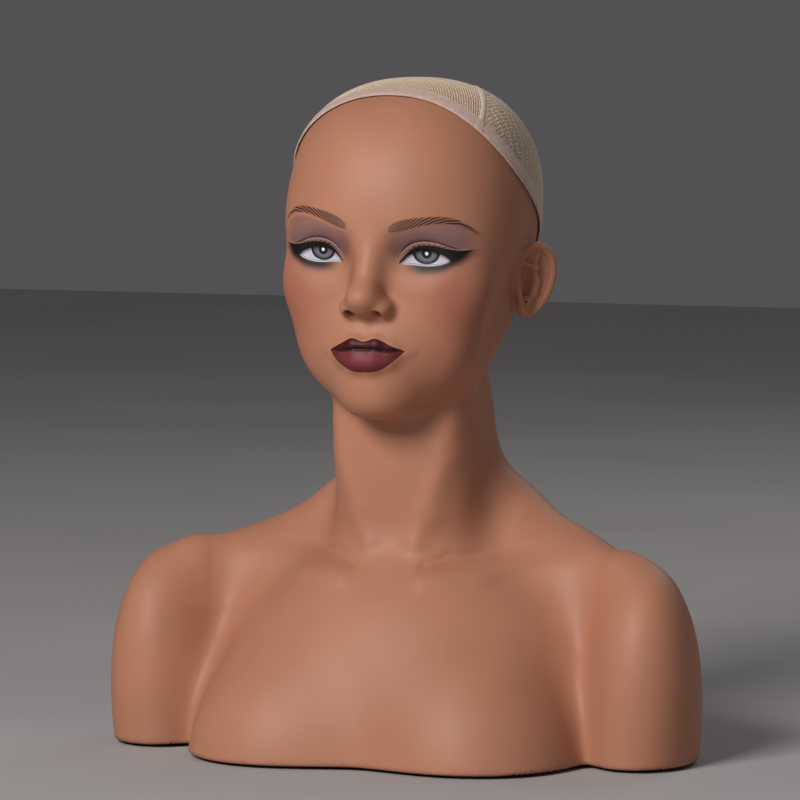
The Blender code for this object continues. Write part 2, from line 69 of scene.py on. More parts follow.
# Lines of the face seen from the front, as (distance from the middle, height) points.
EYE_UPPER = (
    (18.6, 309.6), (21, 312.2), (25.2, 315.6), (30, 317.5), (34, 318.0), (39, 317.5), (44.2, 315.9),
    (48, 313.6), (49.8, 311.9),
)
EYE_LOWER = (
    (18.6, 309.4), (22, 309.0), (26, 308.8), (34.3, 308.2), (40, 308.6), (45, 309.7), (49.8, 312.0),
    (55, 314.8), (61, 318.8),
)
LINER_TOP = (
    (18.2, 310), (21.5, 314.0), (25.5, 318.0), (29.5, 320.1), (34, 321.0), (38, 321.0), (42.5, 320.3),
    (50, 318.8), (55, 318.3), (60.6, 318.8),
)
LINER_LOWER = (
    (18.2, 308.9), (21.2, 311.9), (25.2, 315.2), (30, 317.2), (34, 317.7), (39, 317.1), (44.2, 315.5),
    (48, 313.5), (50.2, 311.7), (53, 312.7), (56.4, 315.1), (60.6, 318.4),
)
CREASE = (
    (17.5, 313.5), (20.5, 317.6), (26, 322.0), (30, 323.5), (34, 324.0), (38, 323.8), (42.5, 322.9),
    (49, 320.6), (54, 319.2),
)
BROW_TOP = (
    (12.5, 331.2), (15, 334.0), (18.5, 336.1), (24, 338.0), (35, 340.0), (44, 340.8), (51, 340.0),
    (57, 337.0), (62, 332.6), (67, 327.4),
)
BROW_LOWER = (
    (12.5, 330.0), (15, 329.2), (21, 330.4), (27, 332.4), (35, 334.8), (44, 336.4), (51, 336.2),
    (57, 334.2), (62, 330.8), (67, 326.6),
)
LIP_TOP = (
    (0, 261.6), (2.5, 262.1), (5, 263.1), (7.8, 263.5), (11, 262.4), (16, 259.8), (20, 257.8),
    (24.6, 255.7),
)
LIP_PARTING = ((0, 256.8), (5, 257.0), (9, 256.6), (17, 255.8), (24.6, 255.6))
LIP_LOWER = ((0, 242.5), (4, 242.5), (8, 243.2), (12, 244.8), (16, 247.4), (20, 250.8), (24.6, 255.4))
# Each painted hair of a brow runs alongside this line.
BROW_FLOW = (
    (12, 0), (20, 9.5), (26, 15.4), (32, 20.2), (38, 24.0), (45, 27.0), (50, 28.2), (56, 27.6),
    (61, 24.6), (67, 18.6),
)

# The iris, and how far both of them are turned towards +X.
IRIS_MIDDLE = (33.7, 316.2)
IRIS_RADII = (8.5, 6.9)
GAZE_SHIFT = 0.9

# How much the lines of the eyes and of the brows fall towards +X, per millimetre.
EYE_TILT = 0.02
BROW_TILT = 0.06

# The small hole in each ear lobe, as (distance back, height); the hole is only a dark spot of painted shade.
LOBE_HOLE = (31.3, 281.6)

# The wig cap, from the middle of the skull: its axis, the ways across it, and the way it is pulled off.
SKULL_CENTRE = np.array([0.0, 33.0, 345.0])
CAP_AXIS = np.array([0.0, 0.734, 0.679])
CAP_FORWARD = np.array([0.0, -0.679, 0.734])
CAP_RIGHT = np.array([1.0, 0.0, 0.0])
CAP_PULL = np.array([0.0, 0.857, 0.515])

# The sphere that the cap's flat layout is made for, its rim and band, and how its panels and threads turn.
CAP_RADIUS = 82.0
RIM_DEG = 88.4
RIM_WAVE_DEG = 4.7
BAND_WIDTH_DEG = 7.0
SEAM_DEG = 42.0
CROSSED_DEG = 45.0
RIB_DEG = 10.0

# Each thread layer of a net panel, as (pitch along, pitch across, thread) in millimetres.
CROSSED_THREADS = ((2.1, 2.1, 0.62),)
RIBBED_THREADS = ((8.4, 2.8, 1.1), (1.4, 1.4, 0.62))

# The camera, in form millimetres: where it stands, what it looks at, and how much it sees across.
CAMERA_AZIMUTH_DEG = 20.0
CAMERA_DISTANCE = 3400.0
CAMERA_HEIGHT = 512.0
CAMERA_TARGET = np.array([0.0, 0.0, 220.5])
CAMERA_FIELD = 500.0

# Grid cells along each side of a block of the net that is laid on a field.
BLOCK = 8


# ---- Field helpers ----


def blend(a, b, width):
    """The union of two fields, rounded over this width."""
    share = np.clip(0.5 + 0.5 * (b - a) / width, 0, 1)
    return b + (a - b) * share - width * share * (1 - share)


def carve(field, tool, width):
    """The field with the tool's inside taken away, rounded over this width."""
    return -blend(-field, tool, width)


def ellipsoid(p, centre, radii, power=2.0):
    """An ellipsoid's field, in millimetres near its surface. A power over 2 makes it boxier."""
    q = [np.abs((p[i] - centre[i]) / radii[i]) + 1e-6 for i in range(3)]
    size = sum(v**power for v in q) ** (1 / power)
    slope = np.sqrt(sum((q[i] ** (power - 1) / radii[i]) ** 2 for i in range(3)))
    return (size - 1) / (slope * size ** (1 - power))


def limb(p, start, end):
    """A tapered round limb between two (x, y, z, radius) points."""
    along = [end[i] - start[i] for i in range(3)]
    length2 = sum(v * v for v in along)
    t = sum((p[i] - start[i]) * along[i] for i in range(3)) / length2
    t = np.clip(t, 0, 1)
    away = np.sqrt(sum((p[i] - start[i] - t * along[i]) ** 2 for i in range(3)))
    return away - (start[3] + (end[3] - start[3]) * t)


def limbs(p, points, width):
    """A chain of limbs, rounded into each other over this width."""
    field = limb(p, points[0], points[1])
    for start, end in zip(points[1:], points[2:]):
        field = blend(field, limb(p, start, end), width)
    return field


def mirrored(p, soft):
    """The point folded onto the +X side, rounded over the middle so that it leaves no crease."""
    return (np.sqrt(p[0] ** 2 + soft**2), p[1], p[2])


def swelling(p, centre, widths):
    """A soft mound, 1 at its centre."""
    return np.exp(-0.5 * sum(((p[i] - centre[i]) / widths[i]) ** 2 for i in range(3)))


def rise(value, low, high):
    """0 below low, 1 above high, and a smooth step between them."""
    t = np.clip((value - low) / (high - low), 0, 1)
    return t * t * (3 - 2 * t)


def height_on(line, x):
    """The height of a line of the face at this distance from the middle."""
    return np.interp(x, [point[0] for point in line], [point[1] for point in line])


def ridge(p, line, width):
    """How strongly a line seen from the front, through these (x, z) points, lifts the surface."""
    flat = (p[0], 0.0 * p[1], p[2])
    away = limbs(flat, [(x, 0, z, 0) for x, z in line], 6)
    return np.exp(-((away / width) ** 2)) * (1 - rise(p[1], -12, 30))


# ---- The form ----


def trunk(p):
    """Chest, back, shoulders and upper arms, with the hollows above the collarbones."""
    q = mirrored(p, 6.0)
    ribs = ellipsoid(p, (0, 10, -10), (128, 88, 138))
    back = ellipsoid(p, (0, 40, 34), (138, 58, 100))
    breast = ellipsoid(q, (64, -37, -14), (59, 56, 76))
    slope = limbs(q, ((0, 51.6, 186, 27), (50, 61, 139.5, 20), (98, 51, 107, 22.6), (140, 22, 113, 11)), 34)
    shoulder = ellipsoid(q, (162, 8, 36), (31.4, 44, 80.6), 2.15)
    arm = ellipsoid(q, (156.5, 8, -40), (31.2, 43, 150))
    field = blend(ribs, back, 34)
    field = blend(field, breast, 34)
    field = blend(field, slope, 33)
    field = blend(field, blend(shoulder, arm, 10), np.clip((p[2] + 40) * 0.3, 13, 38))
    field = field + 4.0 * swelling(q, (62, -14, 136), (30, 16, 10))
    return field + 2.4 * swelling(q, (0, -38, 118), (9, 9, 9))


def column(p):
    """The neck, which leans forward as it rises."""
    leaning = (p[0], p[1] - 52 + 0.1 * p[2], p[2])
    return ellipsoid(leaning, (0, 0, 150), (47.6, 50, 135), 3.0)


def sinews(p):
    """How far the collarbones and the tendons of the neck stand proud, less the groove above each bone."""
    q = mirrored(p, 3.0)
    bone = ridge(q, ((28, 113), (60, 116), (104, 123)), 7)
    groove = ridge(q, ((24, 119), (36, 123), (64, 127), (108, 132)), 3.0)
    tendon = ridge(q, ((46, 240), (37, 190), (24, 152), (16, 134)), 8)
    return 2.8 * bone + 2.8 * tendon - 2.0 * groove


def head(p):
    """Skull, brow, jaw, chin and cheeks, without the nose, eyes, lips and ears."""
    q = mirrored(p, 2.0)
    field = ellipsoid(p, SKULL_CENTRE, (75, 86, 75), 2.3)
    field = blend(field, ellipsoid(p, (0, 0, 322), (66, 53, 60), 2.2), 20)
    field = blend(field, ellipsoid(p, (0, 0, 290), (63, 50, 66)), 16)
    field = blend(field, limbs(q, ((49, 26, 272, 13), (37, 2, 247, 15), (12, -32, 229, 14)), 12), 26)
    field = blend(field, ellipsoid(p, (0, -43.5, 227.5), (17, 15, 14)), 16)
    field = blend(field, ellipsoid(q, (38.8, -24.5, 292), (24.6, 18, 22)), 20)
    field = blend(field, ellipsoid(q, (27, -26, 261), (26, 20, 27)), 20)
    return blend(field, ellipsoid(p, (0, -38, 256), (28, 22, 26)), 18)


def with_nose(p, field):
    """The head with its nose and nostrils."""
    q = mirrored(p, 0.8)
    bridge = limbs(p, ((0, -44.5, 322, 7.5), (0, -52.5, 305, 7.8), (0, -63.5, 290, 8.6)), 6)
    tip = ellipsoid(p, (0, -62.6, 287.8), (10.2, 13.0, 8.4))
    wing = ellipsoid(q, (10.6, -57.6, 281.8), (6.3, 9.4, 6.0))
    under = limb(p, (0, -57, 278.4, 3.2), (0, -66.5, 282.2, 3.2))
    field = blend(field, bridge, 11)
    field = blend(field, wing, 5)
    field = blend(field, tip, 6)
    field = blend(field, under, 4)
    return carve(field, ellipsoid(q, (8.8, -63.4, 277.6), (3.1, 5.6, 4.0)), 1.2)


def with_eyes(p, field):
    """The face with its sockets and eyeballs, the eyes' openings cut in and a fold above each lid."""
    q = mirrored(p, 1.0)
    field = carve(field, ellipsoid(q, (33, -62, 312), (20, 14, 12)), 14)
    field = blend(field, ellipsoid(q, (34, -21.5, 312), (23, 21, 20)), 6)
    level = p[2] + EYE_TILT * p[0]
    front = 1 - rise(p[1], -28, -20)
    over = rise(level, height_on(EYE_LOWER, q[0]) - 0.2, height_on(EYE_LOWER, q[0]) + 0.9)
    under = 1 - rise(level, height_on(EYE_UPPER, q[0]) - 0.9, height_on(EYE_UPPER, q[0]) + 0.2)
    across = rise(q[0], 18, 20) * (1 - rise(q[0], 49, 51))
    fold = np.exp(-(((level - height_on(CREASE, q[0])) / 1.1) ** 2))
    fold = fold * rise(q[0], 18, 24) * (1 - rise(q[0], 48, 56))
    return field + front * (0.9 * over * under * across + 0.8 * fold)


def with_lips(p, field):
    """The face with its lips, the parting between them and the hollow under the nose."""
    q = mirrored(p, 1.0)
    lips = (
        ((25.5, -50.0, 255.6, 1), (15, -57.4, 257.8, 2.8), (7.5, -60.6, 259.2, 3.5), (0, -61.2, 259.0, 3.4)),
        ((25.0, -49.6, 255, 1), (14, -56.6, 251.2, 4.4), (5, -59.0, 249.2, 5.8), (0, -59.3, 249.0, 5.9)),
    )
    for lip in lips:
        field = blend(field, limbs(q, lip, 4), 6)
    parting = np.exp(-(((p[2] - height_on(LIP_PARTING, q[0])) / 1.0) ** 2))
    parting = parting * (1 - rise(q[0], 21, 26)) * (1 - rise(p[1], -50, -40))
    return field + 1.3 * parting + 0.6 * swelling(p, (0, -64, 267), (2.8, 8, 5))


def core(p):
    """The form in the large, which the hollow inside follows."""
    return blend(blend(trunk(p), column(p), 18), head(p), 10)


def body(p):
    """The whole form without its ears."""
    neck = blend(trunk(p), column(p), 18) - sinews(p)
    face = with_lips(p, with_eyes(p, with_nose(p, head(p))))
    return blend(neck, face, 10)


def ear_place(p):
    """The point in the ear's own plane: towards the back, up, and out from the head."""
    flare, lean = math.radians(EAR_FLARE_DEG), math.radians(EAR_LEAN_DEG)
    x, y, z = np.abs(p[0]) - EAR_CENTRE[0], p[1] - EAR_CENTRE[1], p[2] - EAR_CENTRE[2]
    back = x * math.sin(flare) + y * math.cos(flare)
    out = x * math.cos(flare) - y * math.sin(flare)
    up = z * math.cos(lean) + back * math.sin(lean)
    return back * math.cos(lean) - z * math.sin(lean), up, out


def ear_line(back, up, points, width):
    """How strongly a line in the ear's plane lifts its surface."""
    flat = (back, up, 0.0 * up)
    away = limbs(flat, [(b, u, 0, 0) for b, u in points], 2)
    return np.exp(-((away / width) ** 2))


def ear(p):
    """The ears: a cupped leaf with a rolled helix, the forked fold inside it, a tragus and a lobe."""
    back, up, out = ear_place(p)
    width = EAR_RADII[0] * (0.98 + 0.32 * np.clip(up / EAR_RADII[1], -1.2, 1.0))
    radius = np.sqrt((back / width) ** 2 + (up / EAR_RADII[1]) ** 2) + 1e-6
    slope = np.sqrt((back / width**2) ** 2 + (up / EAR_RADII[1] ** 2) ** 2) / radius + 1e-6
    bowl = 4.6 * np.minimum(radius, 1.1) ** 2 - 1.2
    bowl = bowl - 3.6 * ear_line(back, up, ((-5, -6), (-3, 0), (-5, 5)), 5.0)
    bowl = bowl + 3.2 * ear_line(back, up, ((-7, 10), (1, 8), (5, 0), (3.5, -8), (-1, -12.5)), 2.3)
    bowl = bowl + 2.2 * ear_line(back, up, ((1, 8), (2, 16)), 2.2)
    cup = out - bowl
    leaf = np.maximum(np.abs(cup) - 1.5, (radius - 0.95) / slope)
    roll = 0.6 + 2.2 * rise(up, -21, -7)
    helix = np.sqrt(((radius - 0.9) / slope) ** 2 + (out - 4.2) ** 2) - roll
    lobe = ellipsoid((back, up, out), (-3.6, -16.4, 2.0), (6.0, 6.8, 2.6))
    tragus = ellipsoid((back, up, out), (-11.5, -3.0, 2.0), (3.4, 4.6, 4.2))
    root = ellipsoid((back, up, out), (-4.0, 0.0, -8.0), (13.0, 20.0, 13.0))
    root = -blend(-cup, -root, 1.5)
    leaf = blend(leaf, helix, 1.6)
    leaf = blend(blend(leaf, lobe, 3.0), tragus, 2.0)
    return blend(leaf, root, 3.0)


def shell(p):
    """The skin, its rounded lower edge, and the recess that holds the base plate."""
    outside = blend(body(p), ear(p), 3.0)
    outside = -blend(-outside, p[2], EDGE_ROUNDING)
    recess = np.maximum(core(p) + WALL, p[2] - RECESS_DEPTH)
    return np.maximum(outside, -recess)


def scalp(p):
    """The head with the space that it passes through as the cap is pulled off it."""
    field = head(p)
    for step in (6, 14, 24, 36):
        field = np.minimum(field, head([p[i] + step * CAP_PULL[i] for i in range(3)]))
    return field


# ---- The net laid on a field ----


def graded(start, *stretches):
    """Grid lines along one axis: a first value, then (end, step) for each stretch."""
    lines, at = [np.array([float(start)])], start
    for end, step in stretches:
        count = math.ceil((end - at) / step)
        lines.append(at + (end - at) * np.arange(1, count + 1) / count)
        at = end
    lines = np.concatenate(lines)
    spare = -(len(lines) - 1) % BLOCK
    return np.concatenate([lines, lines[-1] + (lines[-1] - lines[-2]) * np.arange(1, spare + 1)])


def looked_up(lines, index):
    """The grid lines' own values at these (i, j, k) indices."""
    return [lines[axis][index[..., axis]] for axis in range(3)]


def net_cells(field, lines):
    """Field values at the corners of every block that the surface may pass through."""
    counts = np.array([len(line) - 1 for line in lines])
    places = np.meshgrid(*[np.arange(0, n, BLOCK) for n in counts], indexing="ij")
    places = np.stack(places, -1).reshape(-1, 3)
    low = np.stack(looked_up(lines, places), 1)
    high = np.stack(looked_up(lines, places + BLOCK), 1)
    middle = field(list(((low + high) / 2).T))
    places = places[np.abs(middle) < 0.75 * np.linalg.norm(high - low, axis=1)]
    corners = np.stack(np.meshgrid(*[np.arange(BLOCK + 1)] * 3, indexing="ij"), -1)
    index = places[:, None, None, None, :] + corners
    values = [field(looked_up(lines, part)) for part in np.array_split(index, 24)]
    return index, np.concatenate(values), counts


def unpinch(values, index, counts):
    """Fills a corner of each grid square where two parts of the surface would share one edge."""
    wide = counts + 1
    number = (index[..., 0] * wide[1] + index[..., 1]) * wide[2] + index[..., 2]
    first, last = slice(None, -1), slice(1, None)
    for _ in range(6):
        filled = []
        for one, two in ((1, 2), (1, 3), (2, 3)):
            views = []
            for a, b in ((first, first), (last, first), (last, last), (first, last)):
                part = [slice(None)] * 4
                part[one], part[two] = a, b
                views.append(tuple(part))
            square = np.stack([values[view] for view in views], -1)
            held = square < 0
            pinched = (held[..., 0] == held[..., 2]) & (held[..., 1] == held[..., 3])
            pinched &= held[..., 0] != held[..., 1]
            nearest = np.where(held, np.inf, square)[pinched].argmin(-1)
            named = np.stack([number[view] for view in views], -1)[pinched]
            filled.append(named[np.arange(len(named)), nearest])
        filled = np.unique(np.concatenate(filled))
        if not len(filled):
            break
        values[np.isin(number, filled)] = -0.01
    return values


def slope_of(points, field):
    """The field's slope at each point, from its values a little to both sides."""
    reach = 0.05
    slope = np.empty_like(points)
    for axis in range(3):
        ahead, behind = points.copy(), points.copy()
        ahead[:, axis] += reach
        behind[:, axis] -= reach
        slope[:, axis] = (field(list(ahead.T)) - field(list(behind.T))) / (2 * reach)
    return slope


def settle(points, field):
    """The points moved along the field's slope until they lie on its surface."""
    for _ in range(3):
        value = field(list(points.T))
        slope = slope_of(points, field)
        size = np.maximum((slope**2).sum(1), 0.05)
        points = points - slope * np.clip(value / size, -1.0, 1.0)[:, None]
    return points


def net_surface(field, lines):
    """Points and four-sided faces of the surface where the field is zero."""
    index, values, counts = net_cells(field, lines)
    inside = unpinch(values, index, counts) < 0
    steps = [(a, b, c) for a in (0, 1) for b in (0, 1) for c in (0, 1)]
    held = np.sum([inside[:, a : a + BLOCK, b : b + BLOCK, c : c + BLOCK] for a, b, c in steps], axis=0)
    active = (held > 0) & (held < 8)
    cell = index[:, :BLOCK, :BLOCK, :BLOCK][active]
    ident = (cell[:, 0] * counts[1] + cell[:, 1]) * counts[2] + cell[:, 2]
    value = [values[:, a : a + BLOCK, b : b + BLOCK, c : c + BLOCK][active] for a, b, c in steps]
    value = np.stack(value, 1)
    total, crossed = np.zeros((len(cell), 3)), np.zeros(len(cell))
    for i, first in enumerate(steps):
        for j, second in enumerate(steps):
            if j <= i or sum(abs(a - b) for a, b in zip(first, second)) != 1:
                continue
            change = (value[:, i] < 0) != (value[:, j] < 0)
            share = np.where(change, value[:, i] / (value[:, i] - value[:, j] + ~change), 0.0)
            spot = np.array(first) + share[:, None] * (np.array(second) - np.array(first))
            total += np.where(change[:, None], spot, 0.0)
            crossed += change
    share = total / crossed[:, None]
    low = np.stack(looked_up(lines, cell), 1)
    high = np.stack(looked_up(lines, cell + 1), 1)
    order = np.argsort(ident)
    return low + share * (high - low), net_faces(inside, index, counts, ident[order], order)


def net_faces(inside, index, counts, ident, order):
    """One four-sided face for every grid edge that crosses the surface."""
    found = []
    for axis in range(3):
        one, two = (axis + 1) % 3, (axis + 2) % 3
        near = [slice(0, BLOCK)] * 3
        far = list(near)
        far[axis] = slice(1, BLOCK + 1)
        here, there = inside[(slice(None), *near)], inside[(slice(None), *far)]
        crossing = here != there
        place = index[(slice(None), *near)][crossing]
        leaving = here[crossing]
        around = []
        for back_one, back_two in ((1, 1), (0, 1), (0, 0), (1, 0)):
            spot = place.copy()
            spot[:, one] -= back_one
            spot[:, two] -= back_two
            number = (spot[:, 0] * counts[1] + spot[:, 1]) * counts[2] + spot[:, 2]
            slot = np.clip(np.searchsorted(ident, number), 0, len(ident) - 1)
            around.append(np.where(ident[slot] == number, order[slot], -1))
        quad = np.stack(around, 1)
        quad[~leaving] = quad[~leaving][:, ::-1]
        found.append(quad[(quad >= 0).all(1)])
    return np.concatenate(found)


# ---- Mesh helpers ----


def to_frame(points):
    """Form millimetres to metres in the frame."""
    return (np.asarray(points, float) + FORM_SHIFT) * MM


def new_mesh(name, points, faces, mat):
    """A smooth-shaded object from form points."""
    mesh = bpy.data.meshes.new(name)
    mesh.from_pydata(to_frame(points).tolist(), [], [list(face) for face in faces])
    mesh.materials.append(mat)
    mesh.shade_smooth()
    obj = bpy.data.objects.new(name, mesh)
    bpy.context.scene.collection.objects.link(obj)
    return obj


def thicken(obj, thickness):
    """Gives an open sheet this thickness in millimetres, outwards."""
    solid = obj.modifiers.new("Thickness", "SOLIDIFY")
    solid.thickness = thickness * MM
    solid.offset = 1.0
    return obj


# ---- Material helpers ----


def srgb(red, green, blue):
    """An 8-bit sRGB colour as linear values."""
    parts = [value / 255 for value in (red, green, blue)]
    linear = [v / 12.92 if v <= 0.04045 else ((v + 0.055) / 1.055) ** 2.4 for v in parts]
    return (*linear, 1.0)


class Paint:
    """Builds the nodes of one material. Every value is a socket or a number."""

    def __init__(self, name, roughness, specular):
        self.material = bpy.data.materials.new(name)
        self.material.use_nodes = True
        self.tree = self.material.node_tree
        self.shader = self.tree.nodes["Principled BSDF"]
        self.shader.inputs["Roughness"].default_value = roughness
        self.shader.inputs["Specular IOR Level"].default_value = specular

    def node(self, kind):
        return self.tree.nodes.new("ShaderNode" + kind)

    def put(self, value, socket):
        if isinstance(value, bpy.types.NodeSocket):
            self.tree.links.new(value, socket)
        else:
            socket.default_value = value

    def math(self, operation, a, b=0.0, clamp=False):
        made = self.node("Math")
        made.operation = operation
        made.use_clamp = clamp
        self.put(a, made.inputs[0])
        self.put(b, made.inputs[1])
        return made.outputs[0]

    def add(self, a, b):
        return self.math("ADD", a, b)

    def less(self, a, b):
        return self.math("SUBTRACT", a, b)

    def times(self, *values):
        product = values[0]
        for value in values[1:]:
            product = self.math("MULTIPLY", product, value)
        return product

    def rise(self, value, low, high):
        """0 below low, 1 above high, and a smooth step between them; low may be the greater."""
        made = self.node("MapRange")
        made.interpolation_type = "SMOOTHSTEP"
        ends = (low, high, 0.0, 1.0) if low < high else (high, low, 1.0, 0.0)
        self.put(value, made.inputs["Value"])
        for name, end in zip(("From Min", "From Max", "To Min", "To Max"), ends):
            made.inputs[name].default_value = end
        return made.outputs["Result"]

    def line(self, across, points):
        """The height of a line through these points, as a smooth curve."""
        xs, ys = [p[0] for p in points], [p[1] for p in points]
        low_x, wide_x, low_y, wide_y = min(xs), max(xs) - min(xs), min(ys), max(ys) - min(ys)
        made = self.node("FloatCurve")
        curve = made.mapping.curves[0]
        made.mapping.use_clip = False
        while len(curve.points) < len(points):
            curve.points.new(0.5, 0.5)
        for spot, (x, y) in zip(curve.points, sorted(points)):
            spot.location = ((x - low_x) / wide_x, (y - low_y) / wide_y)
        made.mapping.update()
        share = self.math("MULTIPLY", self.less(across, low_x), 1 / wide_x, clamp=True)
        self.put(share, made.inputs["Value"])
        return self.add(self.times(made.outputs["Value"], wide_y), low_y)

    def spot(self, x, z, middle, radii, soft):
        """1 inside an ellipse seen from the front, 0 outside."""
        return self.rise(self.span(x, z, middle, radii), 1 + soft, 1 - soft)

    def span(self, x, z, middle, radii):
        """Distance from an ellipse's middle, as a share of its radii."""
        across = self.times(self.less(x, middle[0]), 1 / radii[0])
        up = self.times(self.less(z, middle[1]), 1 / radii[1])
        square = self.add(self.times(across, across), self.times(up, up))
        return self.math("SQRT", square)

    def glow(self, x, z, middle, widths):
        """A soft round patch seen from the front, 1 at its middle."""
        away = self.span(x, z, middle, widths)
        return self.math("EXPONENT", self.times(away, away, -0.5))

    def stroke(self, value, line, half, soft):
        """1 where the value is within half of the line, fading over soft."""
        return self.rise(self.math("ABSOLUTE", self.less(value, line)), half + soft, half)

    def over(self, share, base, colour):
        """The colour laid over the base by this share."""
        made = self.node("Mix")
        made.data_type = "RGBA"
        self.put(share, made.inputs["Factor"])
        self.put(base, made.inputs["A"])
        self.put(colour, made.inputs["B"])
        return made.outputs["Result"]

    def noise(self, vector, scale, detail):
        made = self.node("TexNoise")
        made.inputs["Scale"].default_value = scale
        made.inputs["Detail"].default_value = detail
        self.put(vector, made.inputs["Vector"])
        return made.outputs["Fac"]

    def bump(self, height, strength, distance):
        made = self.node("Bump")
        made.inputs["Strength"].default_value = strength
        made.inputs["Distance"].default_value = distance
        self.put(height, made.inputs["Height"])
        self.put(made.outputs["Normal"], self.shader.inputs["Normal"])

    def place(self):
        """The object's own coordinates: the vector, and x, y and z in form millimetres."""
        vector = self.node("TexCoord").outputs["Object"]
        parts = self.node("SeparateXYZ")
        self.put(vector, parts.inputs[0])
        found = [
            self.less(self.times(parts.outputs[axis], 1 / MM), float(FORM_SHIFT[axis]))
            for axis in range(3)
        ]
        return vector, *found


# ---- The skin's paint ----

SKIN = srgb(184, 126, 98)
SKIN_WARM = srgb(178, 121, 94)
# Painted shade down the sides of the nose.
NOSE_SIDE_SHADE = srgb(140, 86, 64)
# Painted shade in the nostrils.
NOSTRIL_SHADE = srgb(48, 22, 16)
# Painted shade where each ear lobe has its hole.
LOBE_HOLE_SHADE = srgb(40, 20, 14)
BLUSH = srgb(158, 84, 70)
SHADOW = srgb(112, 86, 92)
# Painted shade in the inner corner of each eye socket.
INNER_CORNER_SHADE = srgb(92, 62, 58)
LID = srgb(122, 88, 82)
# Painted highlight on the lid under the crease.
LID_PAINTED_HIGHLIGHT = srgb(186, 148, 136)
SMOKE = srgb(26, 21, 24)
SMOKE_HAZE = srgb(84, 60, 62)
# The liner's black, also used for painted shade of the upper lid over the iris.
LINER_AND_LID_SHADE = srgb(14, 10, 10)
BROWN_LINE = srgb(52, 30, 26)
WHITE_OF_EYE = srgb(196, 192, 204)
# The white in the upper lid's painted shade.
WHITE_IN_SHADE = srgb(120, 112, 126)
PUPIL = srgb(6, 6, 8)
# Painted glint in each eye.
PAINTED_GLINT = (0.95, 0.95, 0.95, 1.0)
IRIS_DARK = srgb(50, 49, 53)
IRIS_LIGHT = srgb(112, 111, 117)
IRIS_RIM = srgb(22, 21, 24)
BROW_WASH = srgb(84, 54, 46)
BROW_HAIR = srgb(34, 18, 15)
LIP_UPPER = srgb(68, 8, 11)
# Lower lip colour, also the painted highlight in its middle.
LOWER_LIP_AND_HIGHLIGHT = srgb(130, 56, 60)
# Painted shade in the parting between the lips.
PARTING_SHADE = srgb(40, 10, 12)
LIP_EDGE = srgb(206, 150, 136)


def paint_skin():
    """The skin's tone and blush, with the painted features laid over them."""
    paint = Paint("painted_skin", 0.52, 0.3)
    vector, x, y, z = paint.place()
    side = paint.math("ABSOLUTE", x)
    front = paint.rise(y, -14.0, -22.0)
    level = paint.add(z, paint.times(x, EYE_TILT))
    colour = paint.over(paint.rise(paint.noise(vector, 14, 3), 0.35, 0.65), SKIN, SKIN_WARM)
    blush = paint.times(paint.glow(side, z, (54, 280), (13, 20)), front, 0.55)
    colour = paint.over(blush, colour, BLUSH)
    # Painted shade down both sides of the nose bridge.
    nose_side_shade = paint.times(paint.glow(side, z, (9.8, 304), (2.8, 12)), paint.rise(y, -38.0, -44.0), 0.5)
    colour = paint.over(nose_side_shade, colour, NOSE_SIDE_SHADE)
    gaze = paint.less(side, paint.times(paint.math("SIGN", x), GAZE_SHIFT))
    colour = paint_eyes(paint, colour, side, gaze, level, front)
    colour = paint_brows(paint, colour, side, paint.add(z, paint.times(x, BROW_TILT)), front)
    colour = paint_lips(paint, colour, side, z, paint.rise(y, -40.0, -48.0))
    # Painted shade: near-black in the hollow of each nostril.
    nostril_shade = paint.times(paint.spot(side, z, (9.3, 279.4), (2.5, 1.4), 0.4), paint.rise(y, -55, -59), 0.85)
    colour = paint.over(nostril_shade, colour, NOSTRIL_SHADE)
    # Painted shade: a dark spot for each ear lobe's hole, which the mesh lacks.
    lobe_hole_shade = paint.times(paint.spot(y, z, LOBE_HOLE, (0.9, 0.9), 0.2), paint.rise(side, 66.0, 68.0), 0.9)
    colour = paint.over(lobe_hole_shade, colour, LOBE_HOLE_SHADE)
    paint.put(colour, paint.shader.inputs["Base Color"])
    paint.bump(paint.noise(vector, 900, 2), 0.06, 0.0004)
    return paint.material


def paint_eyes(paint, colour, side, gaze, level, front):
    """Each layer of the eyes' paint laid over the last."""
    upper = paint.line(side, EYE_UPPER)
    lower = paint.line(side, EYE_LOWER)
    top = paint.line(side, LINER_TOP)
    above_crease = paint.less(level, paint.line(side, CREASE))
    above_liner = paint.less(level, top)
    colour = paint_eyeshadow(paint, colour, side, level, above_crease, front)
    colour = paint_lid(paint, colour, side, above_crease, above_liner, front)
    colour = paint_smoke(paint, colour, side, paint.less(lower, level), front)
    colour = paint_eyeball(paint, colour, side, gaze, level, upper, lower, front)
    liner = paint.times(
        paint.rise(paint.less(level, paint.line(side, LINER_LOWER)), -0.2, 0.25),
        paint.rise(paint.less(top, level), -0.25, 0.25),
        paint.rise(side, 18.0, 18.8), paint.rise(side, 61.0, 60.0), front,
    )
    colour = paint.over(liner, colour, LINER_AND_LID_SHADE)
    return paint_lashes(paint, colour, side, above_liner, front)


def paint_eyeshadow(paint, colour, side, level, above_crease, front):
    """Eyeshadow from the crease to the brow, deepest beside the crease, with painted shade in the inner
    corner beside the nose.
    """
    brow = paint.line(side, BROW_LOWER)
    depth = paint.add(paint.times(paint.rise(above_crease, 10.0, 1.0), 0.3), 0.56)
    shade = paint.times(
        paint.rise(above_crease, -2.5, 1.5), paint.rise(paint.less(brow, level), -1.5, 2.0),
        paint.rise(side, 11, 20), paint.rise(side, 66, 54), front, depth,
    )
    colour = paint.over(shade, colour, SHADOW)
    # Painted shade in the socket's inner corner, beside the nose.
    inner = paint.times(paint.glow(side, level, (15.5, 318), (3.6, 7)), front, 0.6)
    return paint.over(inner, colour, INNER_CORNER_SHADE)


